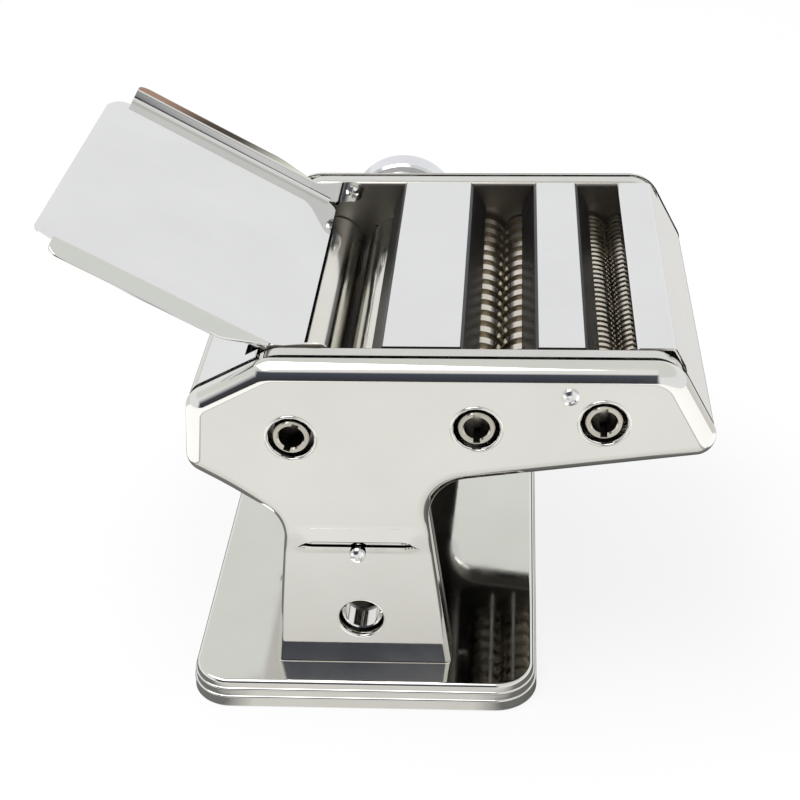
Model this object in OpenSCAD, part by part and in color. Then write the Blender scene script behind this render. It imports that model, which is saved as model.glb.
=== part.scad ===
// Pasta roller machine: pressed steel body on a base plate, two smooth rollers with an
// adjustable gap, a fettuccine and a tagliolini cutter pair, feed tray and thickness knob.
// X runs along the machine from the feed tray to the cutters, Y along the rollers from
// the drive side to the knob side, Z up. The origin is on the table under the base centre.

/* [Smooth rollers] */
// Radius of the smooth rollers
smooth_r = 14.2; // [12:0.1:16]
// Widest gap between the smooth rollers
gap_open = 2.4; // [1.5:0.1:3]
// Travel of the movable roller from widest to narrowest gap
gap_travel = 2.2; // [1:0.1:2.2]
// Half length of every roller barrel
barrel = 73; // [60:0.5:73]

/* [Cutters] */
// Pitch of the wide cutter discs
fett_pitch = 9; // [8:0.1:10]
// Pitch of the narrow cutter discs
tagl_pitch = 4.1; // [3.5:0.1:5]

/* [Body] */
// Bend radius of the outer side panels
panel_bend = 6.5; // [3:0.5:7.5]
// Half width of the base plate
base_x = 71; // [66:1:80]
// Length of the base plate beyond each side panel
base_over = 15.4; // [10:0.2:24]
// Slope of the feed tray
tray_slope = 30.2; // [20:0.1:40]

/* [Hidden] */
$fn = 64;

steel = [0.82, 0.82, 0.80];
dark = [0.45, 0.45, 0.45];
brass = [0.78, 0.66, 0.36];
black = [0.12, 0.12, 0.12];

// Axes of the rollers, in X and Z
ax_s1 = [-22.9, 121.2];
ax_s2 = [ax_s1[0] + 2 * smooth_r + gap_open, 121.2];
ax_f1 = [46.9, 126];
ax_f2 = [64.4, 126];
ax_t1 = [94.1, 129.1];
ax_t2 = [108.5, 129.1];
// Axis of the thickness knob, half way through the travel of the movable roller
ax_k = [ax_s2[0] - gap_travel / 2, 121.2];
ecc = gap_travel / 2;

// Stack across the machine, as distances from the middle plane: the frames stand clear of
// the barrels, and everything outside them keeps its distance from the frames
frame_in = barrel + 0.9;
frame_t = 1.5;
frame_out = frame_in + frame_t;
frame_rim = frame_in + 6.8;
panel_rim = frame_rim + 2;
panel_out = frame_rim + 9.4;
panel_t = 1.2;
// The lower leg stands proud of the panel
foot_proud = 0.9;
foot_out = panel_out + foot_proud;
base_y = panel_out + base_over;
top_z = 152;
base_top = 12;

// Tie rods, in X and Z; the last one also carries the upper panel screw
rods = [[-54.5, 112], [29.5, 114], [124.5, 121], [81.5, 140.6]];
leg_screw = [0, 67.3];
clamp_at = [0, 35];
tray_at = [-13.5, 148];

// Outline of the side panels: X, Z and corner radius, leg first, counter-clockwise
outline = [
  [36.5, 5, 0], [26.1, 97.7, 18], [140.8, 113.9, 8], [120.8, top_z, 14],
  [-32.5, top_z, 15], [-62.4, 136.2, 10], [-65.1, 106, 8], [-27.9, 81.8, 14],
  [-36.5, 5, 0]
];

// ---- plane geometry for bent sheet ----
function xy(p) = [p[0], p[1]];
function unit2(v) = v / norm(v);
function lft(v) = [-v[1], v[0]];
function wrap(o, i) = (i + len(o)) % len(o);
function din(o, i) = unit2(xy(o[i]) - xy(o[wrap(o, i - 1)]));
function dout(o, i) = unit2(xy(o[wrap(o, i + 1)]) - xy(o[i]));
function trn(o, i) = atan2(din(o, i)[0] * dout(o, i)[1] - din(o, i)[1] * dout(o, i)[0],
                           din(o, i) * dout(o, i));
function sg(v) = v < 0 ? -1 : 1;
function tang(o, i) = o[i][2] * tan(abs(trn(o, i)) / 2);
function pa(o, i) = xy(o[i]) - din(o, i) * tang(o, i);
function pb(o, i) = xy(o[i]) + dout(o, i) * tang(o, i);
function cen(o, i) = pa(o, i) + lft(din(o, i)) * o[i][2] * sg(trn(o, i));
function ang(v) = atan2(v[1], v[0]);
// Outline with edge i moved inwards by e[i]; the first and last points end an open path
function moved(o, i, e) =
  i == 0 ? xy(o[0]) + lft(dout(o, 0)) * e[0]
  : i == len(o) - 1 ? xy(o[i]) + lft(din(o, i)) * e[i - 1]
  : xy(o[i]) + meet(lft(din(o, i)), lft(dout(o, i)), e[i - 1], e[i]);
function meet(a, b, ea, eb) =
  (ea * [b[1], -b[0]] - eb * [a[1], -a[0]]) / (a[0] * b[1] - a[1] * b[0]);
function inset(o, e) = [
  for (i = [0:len(o) - 1])
    [moved(o, i, e)[0], moved(o, i, e)[1],
     o[i][2] == 0 ? 0 : o[i][2] - sg(trn(o, i)) * max(e[max(i - 1, 0)], e[min(i, len(e) - 1)])]
];
// Sheet of thickness t hung on the right of an open path, with mitred bends
function hem(p, i, t) =
  i == 0 ? p[0] - lft(unit2(p[1] - p[0])) * t
  : i == len(p) - 1 ? p[i] - lft(unit2(p[i] - p[i - 1])) * t
  : p[i] + meet(lft(unit2(p[i] - p[i - 1])), lft(unit2(p[i + 1] - p[i])), -t, -t);
function sheet_pts(p, t) =
  concat(p, [for (i = [len(p) - 1:-1:0]) hem(p, i, t)]);

// Straight run of a profile (x inwards, y depth) from a to b, lapped by e at both ends
module run(a, b, e = 0) {
  p = a - unit2(b - a) * e;
  translate([p[0], p[1], 0])
    rotate([90, 0, 90 + ang(b - a)])
      linear_extrude(height = norm(b - a) + 2 * e)
        children();
}

// Bend of a profile round corner i of an outline, lapped by e at both ends and set in by g
module bend(o, i, e = 0, g = 0) {
  c = cen(o, i);
  x = e / o[i][2] * 180 / PI;
  if (trn(o, i) > 0) {
    translate([c[0], c[1], 0])
      rotate([0, 0, ang(pa(o, i) - c) - x])
        rotate_extrude(angle = trn(o, i) + 2 * x)
          translate([o[i][2] - g, g])
            mirror([1, 0])
              children();
  } else {
    translate([c[0], c[1], 0])
      rotate([0, 0, ang(pb(o, i) - c) - x])
        rotate_extrude(angle = -trn(o, i) + 2 * x)
          translate([o[i][2] + g, g])
            children();
  }
}

// Pressed rim: bend of radius r, wall down to depth d
module rim_profile(r, t, d) {
  translate([0, r])
    square([t, d - r]);
  intersection() {
    translate([r, r])
      difference() {
        circle(r = r);
        circle(r = r - t);
      }
    square([r, r]);
  }
}

// Flat web inside a rim with bend radius r, from depth z to z + t, lapped under the rim by e
module web(o, first, last, r, t, z = 0, e = 0) {
  w = r - e;
  g = e / 6;
  translate([0, 0, z])
    difference() {
      union() {
        linear_extrude(height = t)
          polygon(concat(
            first > 0 ? [xy(o[0]) + lft(dout(o, 0)) * w] : [],
            [for (i = [first:last]) for (k = [0, 1])
              k == 0 ? pa(o, i) + lft(din(o, i)) * w : pb(o, i) + lft(dout(o, i)) * w],
            last < len(o) - 1 ? [xy(o[last + 1]) + lft(din(o, last + 1)) * w] : []
          ));
        for (i = [first:last])
          if (trn(o, i) > 0 && o[i][2] > r)
            translate([cen(o, i)[0], cen(o, i)[1], 0])
              cylinder(r = o[i][2] - w - g, h = t);
      }
      for (i = [first:last])
        if (trn(o, i) < 0)
          translate([cen(o, i)[0], cen(o, i)[1], -1])
            cylinder(r = o[i][2] + w + g, h = t + 2);
    }
}

// Pressed pan open at the foot of the leg
module pan(o, r, t, d) {
  n = len(o);
  web(o, 1, n - 2, r, t, 0, 0.3);
  translate([0, 0, -0.04]) {
    for (i = [0:n - 2])
      run(i == 0 ? xy(o[0]) : pb(o, i), i == n - 2 ? xy(o[n - 1]) : pa(o, i + 1), 0.3)
        rim_profile(r, t, d);
    for (i = [1:n - 2])
      bend(o, i, 0.3, 0.02)
        rim_profile(r, t, d - 0.04);
  }
}

// Stands a plan drawn in X and Z upright; depth 0 is put at distance y from the middle,
// growing towards the middle (s = -1) or away from it (s = 1)
module upright(y, s) {
  rotate([90, 0, 0])
    translate([0, 0, y])
      scale([1, 1, s])
        children();
}

module side(s) {
  if (s < 0) {
    children();
  } else {
    mirror([0, 1, 0])
      children();
  }
}

// Cylinder along Y from y0 to y1 on the drive side (negative Y) at p = [X, Z]
module near_cyl(p, r, y0, y1) {
  translate([p[0], -y0, p[1]])
    rotate([90, 0, 0])
      cylinder(r = r, h = y1 - y0);
}

module near_hex(p, r, y0, y1) {
  translate([p[0], -y0, p[1]])
    rotate([90, 0, 0])
      cylinder(r = r, h = y1 - y0, $fn = 6);
}

// Ring solid drawn as [radius, Y] points round a roller axis
module spun(p) {
  translate([p[0], 0, p[1]])
    rotate([-90, 0, 0])
      rotate_extrude()
        children();
}

// ---- base ----
// Distance of the base screws from the middle plane
screw_y = frame_out + 9.6;
base_o = [
  [base_x, -base_y, 17], [base_x, base_y, 17], [-base_x, base_y, 17], [-base_x, -base_y, 17]
];

base_bend = 1.6;

module bead_edge() {
  polygon([[1.5, 1.5], [2.5, 1.5], [1, base_top], [0, base_top]]);
  translate([1.5, 4.1])
    circle(r = 0.8);
  translate([0.9, 7.8])
    circle(r = 0.8);
  intersection() {
    translate([1.5 + base_bend, base_bend])
      difference() {
        circle(r = base_bend);
        circle(r = base_bend - 1);
      }
    translate([1.5, 0])
      square(base_bend);
  }
}

module base_plate() {
  color(steel)
    difference() {
      translate([0, 0, base_top])
        mirror([0, 0, 1])
          union() {
            web(base_o, 0, 3, 1.5 + base_bend, 1);
            for (i = [0:3])
              run(pb(base_o, i), pa(base_o, wrap(base_o, i + 1)))
                bead_edge();
            for (i = [0:3])
              bend(base_o, i)
                bead_edge();
          }
      for (x = [-20, 20])
        for (y = [-screw_y, screw_y])
          translate([x, y, 5])
            cylinder(r = 2, h = 20);
    }
}

module rubber_feet() {
  color(black)
    for (x = [16 - base_x, base_x - 16])
      for (y = [16.5 - base_y, base_y - 16.5])
        translate([x, y, 0])
          rotate_extrude()
            polygon([[0, 0], [8, 0], [9, 1], [9, 8], [7.5, 11], [0, 11]]);
}

module base_screws() {
  color(steel)
    for (x = [-20, 20])
      for (y = [-screw_y, screw_y])
        translate([x, y, 0])
          rotate_extrude()
            polygon([[0, 8.6], [2.4, 8.6], [3.8, 9.6], [3.8, 11], [2, 11], [2, 16], [0, 16]]);
}

// Bore for the stem of a table clamp, and the outer end of its bush inside the lower leg
clamp_r = 7.3;
bush_out = foot_out - 3.6;

module leg_brackets() {
  color(dark)
    for (s = [-1, 1])
      side(s)
        difference() {
          union() {
            translate([-25, -frame_out - 14, base_top])
              cube([50, 14, 2]);
            translate([-20, -frame_out - 2, base_top])
              cube([40, 2, 40]);
          }
          near_cyl(clamp_at, clamp_r + 0.5, frame_in - 4, foot_out);
          for (x = [-20, 20])
            translate([x, -screw_y, 5])
              cylinder(r = 2, h = 20);
        }
}

module clamp_bush() {
  color(steel)
    spun(clamp_at)
      polygon([[clamp_r, -bush_out + 0.4], [clamp_r + 0.6, -bush_out],
               [clamp_r + 1.2, -bush_out + 0.4], [clamp_r + 1.2, -frame_out - 2],
               [clamp_r, -frame_out - 2]]);
}

// ---- side panels and frames ----
foot_top = 72.2;
foot_o = [
  [36.5, 5, 0], [29.05, foot_top, 5], [-29.05, foot_top, 5], [-36.5, 5, 0]
];

module foot_face() {
  translate([0, 0, foot_proud])
    scale([1, 1, -1])
      pan(foot_o, 2.2, panel_t, foot_out - panel_rim + 1);
}

// Valley pressed across the leg above the foot face, as a sheet in Y and Z
valley_w = 24.5;
valley_d = 1.2;
module valley() {
  translate([-valley_w - 0.1, 0, 0])
    rotate([90, 0, 90])
      linear_extrude(height = 2 * valley_w + 0.2)
        polygon([
          [-panel_out + 0.08, foot_top + 8.6], [-panel_out + valley_d, foot_top + 2.2],
          [-panel_out + valley_d + 0.7, foot_top - 0.4],
          [-panel_out + valley_d + 0.7 + panel_t, foot_top - 0.4],
          [-panel_out + valley_d + panel_t, foot_top + 2.3],
          [-panel_out + panel_t + 0.08, foot_top + 8.8]
        ]);
}

module panel_body() {
  difference() {
    union() {
      difference() {
        upright(panel_out, -1)
          pan(outline, panel_bend, panel_t, panel_out - panel_rim);
        translate([-60, -foot_out - 30, -10])
          cube([120, 60, 10 + foot_top - 0.2]);
        translate([-valley_w, -panel_out - 5, foot_top - 1])
          cube([2 * valley_w, 5 + 3.4, 9.7]);
      }
      upright(panel_out, 1)
        foot_face();
      valley();
    }
    translate([-60, -foot_out - 30, -10])
      cube([120, 60, 10 + base_top + 0.5]);
    translate([-60, -panel_rim, -10])
      cube([120, 30, 100]);
  }
}

module hole_lip(p, y, r) {
  spun(p)
    translate([r + 0.75, -y])
      circle(r = 0.75);
}

module drive_side_panel() {
  color(steel)
    difference() {
      union() {
        panel_body();
        for (p = [ax_s1, ax_f1, ax_t1])
          hole_lip(p, panel_out, 8.9);
        near_cyl(clamp_at, 10, bush_out - 1, foot_out - 0.8);
      }
      for (p = [ax_s1, ax_f1, ax_t1, clamp_at])
        near_cyl(p, 8.9, panel_rim, foot_out + 1);
      for (p = [leg_screw, rods[3]])
        near_cyl(p, 2, panel_rim, foot_out + 1);
    }
}

module knob_side_panel() {
  color(steel)
    mirror([0, 1, 0])
      difference() {
        panel_body();
        near_cyl(ax_k, 7, panel_rim, foot_out + 1);
        for (p = [ax_k + [0, 15], leg_screw, rods[3]])
          near_cyl(p, 2, panel_rim, foot_out + 1);
      }
}

frame_o = inset(outline, [0, 1.3, 1.3, 0, 1.3, 1.3, 1.3, 0]);
win_x0 = ax_s2[0] - 9 - gap_travel - 0.15;
win_x1 = ax_s2[0] + 9.15;

module comb_slots() {
  for (q = [[ax_f1, 2.6, 10], [ax_f2, -3.8, 10], [ax_t1, 2.6, 8], [ax_t2, -3.8, 8]])
    translate([q[0][0] + q[1] - 0.05, -frame_out - 3, q[0][1] - q[2] - 7.05])
      cube([1.3, 6, 4.1]);
  translate([scraper_at[0] - 0.05, -frame_out - 3, scraper_at[1] + 1.95])
    cube([1.1, 6, 4.1]);
}

module frame_body() {
  difference() {
    upright(frame_in, 1)
      pan(frame_o, 2, frame_t, frame_rim - frame_in);
    translate([-60, -frame_in - 50, -10])
      cube([120, 60, 10 + base_top]);
    translate([win_x0, -frame_out - 3, ax_s2[1] - 23.8])
      cube([win_x1 - win_x0, 6, 33.4]);
    comb_slots();
    for (p = concat(rods, [leg_screw]))
      near_cyl(p, 2.5, frame_in - 1, frame_out + 1);
    near_cyl(tray_at, 2, frame_in - 1, frame_out + 1);
  }
}

module drive_side_frame() {
  color(steel)
    difference() {
      frame_body();
      near_cyl(ax_s1, 9, frame_in - 1, frame_out + 1);
      for (p = [ax_f1, ax_t1])
        near_cyl(p, 8.5, frame_in - 1, frame_out + 1);
      for (p = [ax_f2, ax_t2])
        near_cyl(p, 4.5, frame_in - 1, frame_out + 1);
      near_cyl(clamp_at, clamp_r + 0.9, frame_in - 1, frame_out + 1);
    }
}

module knob_side_frame() {
  color(steel)
    mirror([0, 1, 0])
      difference() {
        frame_body();
        for (p = [ax_s1, ax_f1, ax_t1, ax_f2, ax_t2])
          near_cyl(p, 6, frame_in - 1, frame_out + 1);
      }
}

module panel_spacers() {
  color(dark)
    for (s = [-1, 1])
      side(s) {
        difference() {
          near_cyl(rods[3], 4.5, frame_out, panel_out - panel_t);
          near_cyl(rods[3], 2.5, frame_in, frame_out + 4.1);
          near_cyl(rods[3], 2, frame_out + 4, panel_out);
        }
        difference() {
          union() {
            near_cyl(leg_screw, 2.65, frame_out, foot_out - panel_t);
            near_cyl(leg_screw, 2.5, frame_in, frame_out + 1);
          }
          near_cyl(leg_screw, 2, frame_out + 5, foot_out);
        }
      }
}

// Pan head of radius r seated at depth y, with a shank of length l
module screw_outline(r, y, l) {
  polygon([[0, -y - 2.2], [r - 1.7, -y - 1.9], [r - 0.4, -y - 1.1], [r, -y], [2, -y],
           [2, -y + l], [0, -y + l]]);
}

module panel_screws() {
  color(steel)
    for (s = [-1, 1])
      side(s) {
        difference() {
          spun(rods[3])
            screw_outline(3.5, panel_out, 8.1);
          screw_cross(rods[3], panel_out + 2.2);
        }
        difference() {
          spun(leg_screw)
            screw_outline(3.25, foot_out + 0.05, 9);
          screw_cross(leg_screw, foot_out + 2.25);
        }
      }
}

module screw_cross(p, y) {
  for (a = [20, 110])
    translate([p[0], -y, p[1]])
      rotate([0, a, 0])
        cube([0.8, 2, 3.6], center = true);
}

rod_end = frame_out + 4;

module tie_rods() {
  color(steel)
    for (p = rods)
      spun(p)
        polygon([[0, -rod_end], [2.5, -rod_end], [2.5, -frame_in], [4, -frame_in],
                 [4, frame_in], [2.5, frame_in], [2.5, rod_end], [0, rod_end]]);
}

module tie_rod_nuts() {
  color(steel)
    for (s = [-1, 1])
      side(s)
        for (k = [0:2])
          difference() {
            near_hex(rods[k], 4.6, frame_out, rod_end - 0.4);
            near_cyl(rods[k], 2.5, frame_in, rod_end);
          }
}

// ---- covers ----
module cover_strip(pts) {
  rotate([90, 0, 0])
    linear_extrude(height = 2 * frame_in - 0.2, center = true)
      polygon(sheet_pts(pts, 1));
}

module wide_cover() {
  color(steel)
    cover_strip([[5.5, 140], [10.4, 150.8], [11.6, top_z], [40.4, top_z], [41.6, 150.8],
                 [46.9, 140]]);
}

module narrow_cover() {
  color(steel)
    cover_strip([[63.5, 140], [68.6, 150.8], [69.8, top_z], [86.9, top_z], [88.1, 150.8],
                 [93.3, 140]]);
}

module band_profile(half) {
  translate([0.25, -half])
    square([1, 2 * half]);
}

slant_d = unit2(xy(outline[3]) - xy(outline[2]));
fold_at = [120.46, top_z];

module right_cover() {
  color(steel)
    union() {
      cover_strip([[106.3, 141], [106.3, 151.2], [107.1, top_z], [119.4, top_z],
                   [120.7, 151.4], [121.9, 149.2]]);
      rotate([90, 0, 0]) {
        run(pb(outline, 2) + slant_d * 2, [121.3, 151.047], 0.3)
          translate([0.02, 0])
            band_profile(frame_in - 0.15);
        run(pb(outline, 2), xy(outline[3]) - slant_d * 8.6, 0.3)
          band_profile(frame_rim - 1.5);
        bend(outline, 2, 0.3, 0.02)
          band_profile(frame_rim - 1.6);
        run(pa(outline, 2) - din(outline, 2) * 14, pa(outline, 2), 0.3)
          band_profile(frame_rim - 1.5);
      }
    }
}

module left_cover() {
  color(steel)
    difference() {
      rotate([90, 0, 0]) {
        for (i = [4:6])
          run(pb(outline, i), pa(outline, i + 1) - din(outline, i + 1) * (i == 6 ? 1 : 0), 0.3)
            band_profile(frame_rim - 1.5);
        for (i = [5, 6])
          bend(outline, i, 0.3, 0.02)
            band_profile(frame_rim - 1.6);
      }
      translate([-40.5, -frame_in + 0.4, 120])
        cube([20, 2 * frame_in - 0.8, 40]);
    }
}

// ---- feed tray ----
// Drawn lying flat: x away from the rollers is negative, the hinge is at the origin
tray_w = frame_in - 1.5;
tray_t = 0.8;
tip_w = tray_w - 5.4;
lip_w = tray_w + 10.4;
tray_b = -10.6;

module tray_plan() {
  linear_extrude(height = 20, center = true)
    polygon([[-2, 10.4 - tray_w], [-2, tray_w - 10.4], [-12, tray_w + 1],
             [-105.4, tray_w + 1], [-105.4, tip_w], [-106, tip_w], [-106, -tip_w],
             [-105.4, -tip_w], [-105.4, -tray_w - 1], [-12, -tray_w - 1]]);
  translate([-109.5, 0, 0])
    cube([9, 2 * tip_w - 20, 20], center = true);
  for (s = [-1, 1])
    translate([-103.4, s * (tip_w - 10), 0])
      cylinder(r = 10, h = 20, center = true);
  translate([-105, 0, 0])
    cube([3, 2 * tip_w, 20], center = true);
}

module tray_sheet() {
  intersection() {
    union() {
      translate([-105.5, -lip_w, tray_b])
        cube([103.5, 2 * lip_w, tray_t]);
      translate([-105.5, 0, tray_b - 14])
        rotate([90, 0, 0])
          rotate([0, 0, 90])
            translate([0, 0, -lip_w])
              rotate_extrude(angle = tray_slope)
                translate([14, 0])
                  square([tray_t, 2 * lip_w]);
    }
    translate([0, 0, tray_b])
      tray_plan();
  }
}

module lip(s) {
  translate([0, 0, -6.2])
    linear_extrude(height = tray_t)
      polygon([[-18.9, s * tray_w], [-18.9, s * (lip_w - 2)], [-20.9, s * lip_w],
               [-99.2, s * lip_w], [-99.2, s * (lip_w - 4)], [-104.4, s * (lip_w - 4)],
               [-104.4, s * tray_w]]);
  translate([-99.2, s * (lip_w - 5.2), -6.2])
    cylinder(r = 5.2, h = tray_t);
  translate([-98.7, s * lip_w, -5.8])
    rotate([0, 90, 0])
      cylinder(r = 0.75, h = 75.5);
}

module feed_tray() {
  color(steel)
    translate([tray_at[0], 0, tray_at[1]])
      rotate([0, tray_slope, 0]) {
        tray_sheet();
        for (s = [-1, 1]) {
          tray_wall(s);
          lip(s);
        }
      }
}

module tray_wall(s) {
  translate([0, s * (tray_w + tray_t / 2), 0])
    rotate([90, 0, 0])
      difference() {
        union() {
          linear_extrude(height = tray_t, center = true)
            polygon([[4.6, -5.5], [-2, tray_b], [-105.2, tray_b], [-105.2, -5.4],
                     [-24, -5.4], [-3.6, 6.24], [0, 0]]);
          cylinder(r = 7.2, h = tray_t, center = true);
        }
        cylinder(r = 2.06, h = 3, center = true);
      }
}

module tray_screws() {
  color(steel)
    for (s = [-1, 1])
      side(s)
        difference() {
          spun(tray_at)
            polygon([[0, 1.8 - tray_w], [1.6, 1.6 - tray_w], [2.8, 0.9 - tray_w],
                     [3, 0.1 - tray_w], [2, 0.1 - tray_w], [2, -tray_w - 6.2],
                     [0, -tray_w - 6.2]]);
          screw_cross(tray_at, tray_w - 1.8);
        }
}

// ---- gears ----
function inv_r(rb, t) = rb * sqrt(1 + pow(t * PI / 180, 2));
function inv_a(t) = t - atan(t * PI / 180);
function t_at(rb, r) = sqrt(pow(r / rb, 2) - 1) * 180 / PI;
function pol(r, a) = [r * cos(a), r * sin(a)];

// Involute gear of n teeth and module m, tooth centre at angle ph, cut back by bl at the pitch
module gear2(n, m, ra, rf, ph, bl) {
  rp = n * m / 2;
  rb = rp * cos(20);
  half = (PI * m / 2 - bl) / 2 / rp * 180 / PI + inv_a(t_at(rb, rp));
  t1 = t_at(rb, ra);
  t0 = rf > rb ? t_at(rb, rf) : 0;
  polygon([
    for (i = [0:n - 1])
      for (k = [0:15])
        let (c = ph + i * 360 / n,
             j = k < 8 ? k : 15 - k,
             s = k < 8 ? -1 : 1,
             t = t0 + (t1 - t0) * (j - 1) / 6)
          j == 0 ? pol(rf, c + s * (half - inv_a(t0)))
                 : pol(inv_r(rb, t), c + s * (half - inv_a(t)))
  ]);
}

module gear(p, n, m, ra, rf, ph, bl, bore, y0, y1) {
  translate([p[0], y1, p[1]])
    rotate([90, 0, 0])
      difference() {
        linear_extrude(height = y1 - y0)
          gear2(n, m, ra, rf, ph, bl);
        translate([0, 0, -1])
          cylinder(r = bore, h = y1 - y0 + 2);
      }
}

module smooth_drive_gear() {
  color(dark)
    gear(ax_s1, 11, 2.6, 16.9, 11.05, 0, 0.3, 7, -frame_out - 8.6, -frame_out - 1.6);
}

module smooth_follower_gear() {
  color(dark)
    gear(ax_s2, 11, 2.6, 16.9, 11.05, 0, 0.3, 4, -frame_out - 8.6, -frame_out - 1.6);
}

module fettuccine_drive_gear() {
  color(dark)
    gear(ax_f1, 14, 1.25, 10, 7.2, 0, 0.15, 4, frame_out + 1.6, frame_out + 7.6);
}

module fettuccine_follower_gear() {
  color(dark)
    gear(ax_f2, 14, 1.25, 10, 7.2, 180 / 14, 0.15, 4, frame_out + 1.6, frame_out + 7.6);
}

module tagliolini_drive_gear() {
  color(dark)
    gear(ax_t1, 12, 1.2, 8.4, 5.7, 0, 0.15, 4, frame_out + 1.6, frame_out + 7.6);
}

module tagliolini_follower_gear() {
  color(dark)
    gear(ax_t2, 12, 1.2, 8.4, 5.7, 180 / 12, 0.15, 4, frame_out + 1.6, frame_out + 7.6);
}

// ---- smooth rollers ----
module smooth_roller_driven() {
  color(steel)
    spun(ax_s1)
      polygon([[0, -socket_in], [5, -socket_in], [5, -barrel], [smooth_r - 0.4, -barrel],
               [smooth_r, -barrel + 0.4], [smooth_r, barrel - 0.4],
               [smooth_r - 0.4, barrel], [4, barrel], [4, frame_out + 2], [0, frame_out + 2]]);
}

module smooth_roller_movable() {
  color(steel)
    spun(ax_s2)
      polygon([[0, -frame_out - 9.2], [4, -frame_out - 9.2], [4, -barrel],
               [smooth_r - 0.4, -barrel],
               [smooth_r, -barrel + 0.4], [smooth_r, barrel - 0.4],
               [smooth_r - 0.4, barrel], [4, barrel], [4, frame_out + 1.4],
               [0, frame_out + 1.4]]);
}

// Bore that takes the crank, and the inner end of that bore
socket_r = 4.7;
socket_in = frame_rim + 0.2;

// Drive sleeve: outside is the journal, mouth takes the crank, inner end takes the roller
module socket(p, a) {
  difference() {
    spun(p)
      polygon([[socket_r, -socket_in - 0.1], [socket_r, 0.8 - panel_out],
               [5.2, 0.3 - panel_out], [6.6, 0.3 - panel_out], [7, 0.7 - panel_out],
               [7, 0.7 - frame_in], [5, 0.7 - frame_in], [5, -socket_in - 0.1]]);
    for (k = [0, 180])
      translate([p[0], 0, p[1]])
        rotate([0, a + k, 0])
          translate([-1.3, -panel_out - 0.4, 4])
            cube([2.6, panel_out - socket_in + 0.3, 2.2]);
  }
}

module smooth_drive_socket() {
  color(dark)
    socket(ax_s1, 20);
}

module fettuccine_socket() {
  color(dark)
    socket(ax_f1, 0);
}

module tagliolini_socket() {
  color(dark)
    socket(ax_t1, 0);
}

// ---- cutters ----
function lo(c, w) = max(-barrel, c - w / 2);
function hi(c, w) = min(barrel, c + w / 2);
function disc_pts(n, pitch, w, core, r) = [
  for (k = [0:n - 1])
    let (c = (k - (n - 1) / 2) * pitch)
      for (q = [[core, lo(c, w)], [r, lo(c, w)], [r, hi(c, w)], [core, hi(c, w)]])
        q
];

module cutter(p, n, pitch, w, core, r, j0, y0, j1, y1) {
  spun(p)
    polygon(concat(
      [[0, y0], [j0, y0], [j0, -barrel]],
      (n - 1) / 2 * pitch + w / 2 < barrel ? [[core, -barrel]] : [],
      [for (i = [0:4 * n - 1])
        if (!(((n - 1) / 2 * pitch + w / 2 >= barrel) && (i == 0 || i == 4 * n - 1)))
          disc_pts(n, pitch, w, core, r)[i]],
      (n - 1) / 2 * pitch + w / 2 < barrel ? [[core, barrel]] : [],
      [[j1, barrel], [j1, y1], [0, y1]]
    ));
}

module fettuccine_roller_driven() {
  color(steel)
    cutter(ax_f1, 16, fett_pitch, fett_pitch / 2 - 0.15, 7.1, 10, 5, -socket_in, 4, frame_rim + 2.6);
}

module fettuccine_roller_follower() {
  color(steel)
    cutter(ax_f2, 17, fett_pitch, fett_pitch / 2 - 0.15, 7.1, 10, 3, -frame_out - 1.1, 4, frame_rim + 2.6);
}

module tagliolini_roller_driven() {
  color(steel)
    cutter(ax_t1, 35, tagl_pitch, tagl_pitch / 2 - 0.1, 6, 8, 5, -socket_in, 4, frame_rim + 2.6);
}

module tagliolini_roller_follower() {
  color(steel)
    cutter(ax_t2, 36, tagl_pitch, tagl_pitch / 2 - 0.1, 6, 8, 3, -frame_out - 1.1, 4, frame_rim + 2.6);
}

// Half lengths of a comb's spine and of the tongues that hold it in the frames
spine_w = frame_in - 0.3;
tongue = frame_out - 0.1;

// Comb outline in Y and Z below a roller axis: n fingers on the pitch, spine and end tongues
function comb_pts(n, pitch, fw, top, spine) = concat(
  [[-tongue, spine - 6], [-spine_w, spine - 6], [-spine_w, spine - 8],
   [spine_w, spine - 8], [spine_w, spine - 6], [tongue, spine - 6], [tongue, spine - 2],
   [spine_w, spine - 2], [spine_w, spine]],
  [for (k = [n - 1:-1:0])
    let (c = (k - (n - 1) / 2) * pitch)
      for (q = [[c + fw / 2, spine], [c + fw / 2, top], [c - fw / 2, top], [c - fw / 2, spine]])
        q],
  [[-spine_w, spine], [-spine_w, spine - 2], [-tongue, spine - 2]]
);

module comb(p, x, n, pitch, fw, core, r) {
  translate([p[0] + x, 0, p[1]])
    rotate([90, 0, 90])
      linear_extrude(height = 1.2)
        polygon(comb_pts(n, pitch, fw, -sqrt(pow(core + 0.35, 2) - 2.6 * 2.6), -r - 1));
}

module fettuccine_comb_left() {
  color(steel)
    comb(ax_f1, 2.6, 15, fett_pitch, fett_pitch / 2 - 0.45, 7.1, 10);
}

module fettuccine_comb_right() {
  color(steel)
    comb(ax_f2, -3.8, 16, fett_pitch, fett_pitch / 2 - 0.45, 7.1, 10);
}

module tagliolini_comb_left() {
  color(steel)
    comb(ax_t1, 2.6, 34, tagl_pitch, tagl_pitch / 2 - 0.5, 6, 8);
}

module tagliolini_comb_right() {
  color(steel)
    comb(ax_t2, -3.8, 35, tagl_pitch, tagl_pitch / 2 - 0.5, 6, 8);
}

// Scraper blade on the tangent of its roller, a little clear of it; s picks the side
function blade_n(s) = [s * cos(65), -sin(65)];
function blade_u(s) = [-s * sin(65), -cos(65)];
blade_r = smooth_r + 0.35;
module scraper_blade(s) {
  n = blade_n(s);
  u = blade_u(s);
  polygon([n * blade_r - u * 3, n * blade_r + u * 12, n * (blade_r + 1) + u * 12,
           n * (blade_r + 1) - u * 1.5]);
}
// Lower corner of the strip that carries the fixed blade
scraper_at = ax_s1 + blade_n(1) * blade_r + blade_u(1) * 12 + [-0.373, -6.942];

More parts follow.
